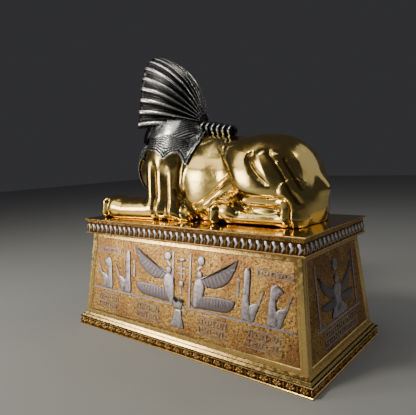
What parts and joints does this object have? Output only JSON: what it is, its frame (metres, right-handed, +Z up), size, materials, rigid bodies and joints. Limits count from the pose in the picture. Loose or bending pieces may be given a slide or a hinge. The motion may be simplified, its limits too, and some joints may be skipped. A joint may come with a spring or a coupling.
{
  "type": "sphinx statue",
  "caption": "Recumbent gilt sphinx with a fan-ribbed silver headdress and scalloped cape, on a battered gilt plinth with silver relief panels and leaf mouldings.",
  "frame": {"origin": "centre of the plinth's underside", "axes": "+Z up, -Y the way the sphinx faces, +X its left side"},
  "size_m": [0.2188, 0.427, 0.4321],
  "materials": {
    "gilt_polished": "mirror-polished gilding over cast bronze",
    "silvered": "silvered, dark in the grooves",
    "gilt_moulding": "satin gilding",
    "gilt_chased": "chased, matt gilding with silvered figures"
  },
  "bodies": {
    "root": {"sphinx_body": "gilt_polished", "headdress": "silvered", "plinth_cornice": "gilt_moulding", "plinth_walls": "gilt_moulding", "plinth_base": "gilt_moulding", "relief_left": "gilt_chased", "relief_right": "gilt_chased", "relief_rear": "gilt_chased", "relief_front": "gilt_chased"}
  },
  "joints": []
}
